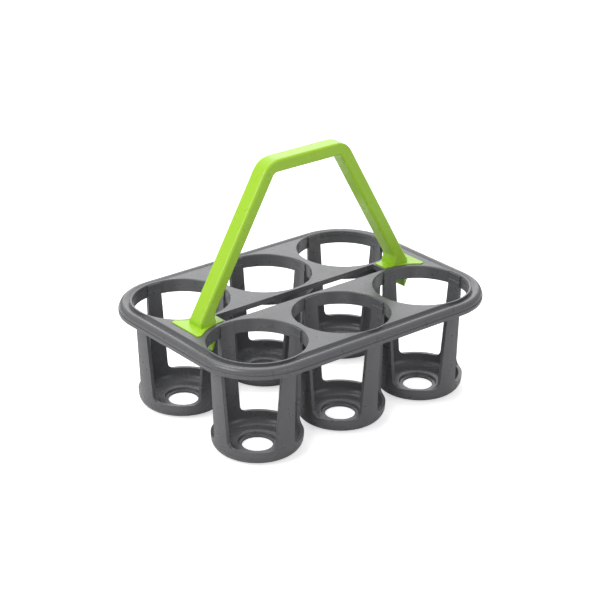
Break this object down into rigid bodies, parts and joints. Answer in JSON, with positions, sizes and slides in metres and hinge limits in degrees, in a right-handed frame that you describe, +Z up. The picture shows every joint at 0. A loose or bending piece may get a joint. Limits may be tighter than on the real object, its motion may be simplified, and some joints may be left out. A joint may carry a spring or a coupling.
{
  "type": "bottle carrier",
  "caption": "Open-sided bottle carrier: a dark plastic deck with a beaded rim over rows of tapered pockets, and an arched green handle snapped into its ends.",
  "frame": {"origin": "middle of the footprint, on the surface that the pockets stand on", "axes": "+X along the carrier and its handle, +Y across the two rows, +Z up towards the grip"},
  "size_m": [0.3388, 0.2508, 0.2671],
  "materials": {
    "dark_plastic": "satin",
    "green_plastic": "semi-gloss"
  },
  "bodies": {
    "root": {"carrier": "dark_plastic", "carry_handle": "green_plastic"}
  },
  "joints": []
}
